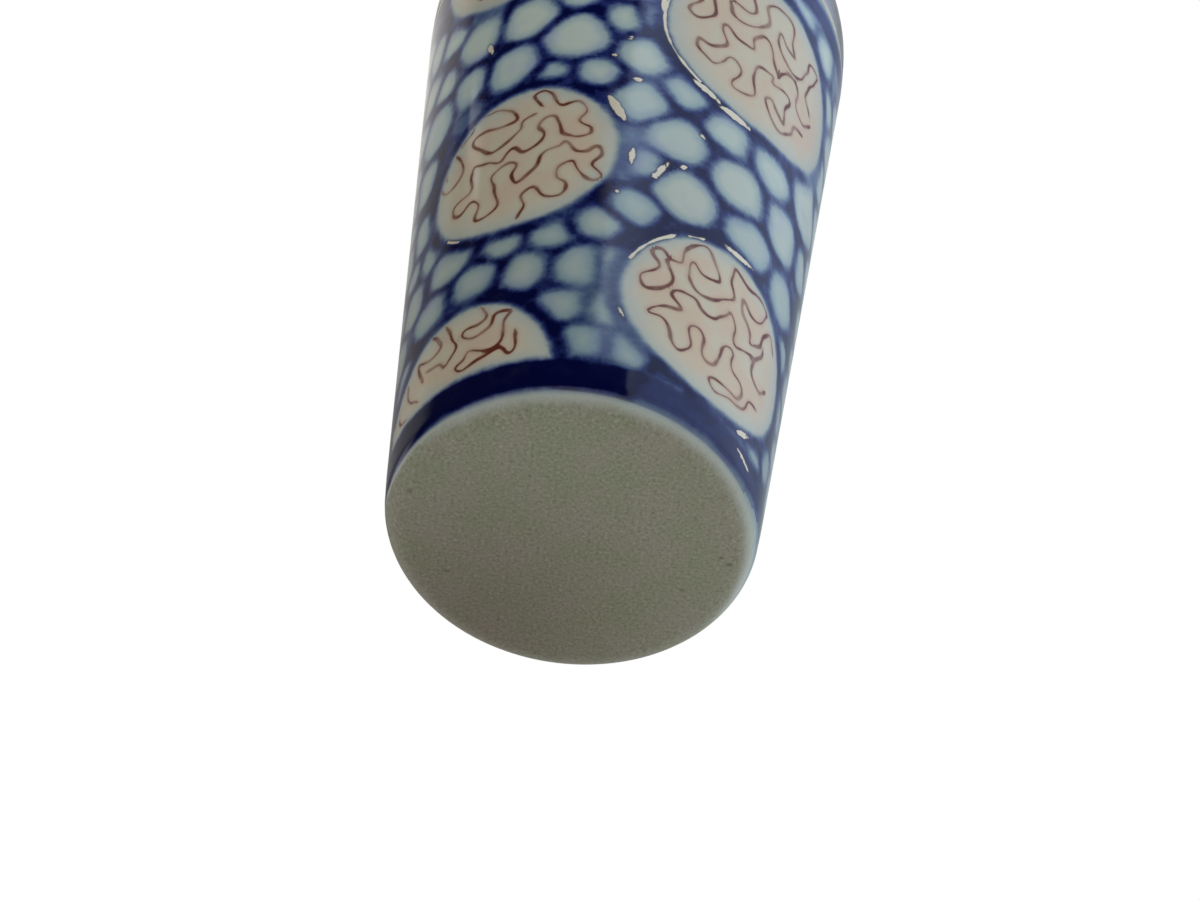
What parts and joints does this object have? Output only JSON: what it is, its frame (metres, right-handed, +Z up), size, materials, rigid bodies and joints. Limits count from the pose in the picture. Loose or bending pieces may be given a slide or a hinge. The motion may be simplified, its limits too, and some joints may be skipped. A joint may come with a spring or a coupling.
{
  "type": "porcelain perfume bottle",
  "caption": "Small tapered porcelain scent bottle with a blue cell ground and oval medallions, a silver shoulder mount and a lift-off silver cap.",
  "frame": {"origin": "centre of the flat base, on the surface that the bottle stands on", "axes": "+Z up along the axis that the bottle is turned round, from the base to the cap's finial; -Y faces the pictured side"},
  "size_m": [0.0302, 0.0302, 0.0858],
  "materials": {
    "porcelain": "opaque glazed porcelain, glossy",
    "silver": "polished silver with a slight tarnish"
  },
  "bodies": {
    "root": {"body": "porcelain", "shoulder_mount": "silver", "cap": "silver"}
  },
  "joints": []
}
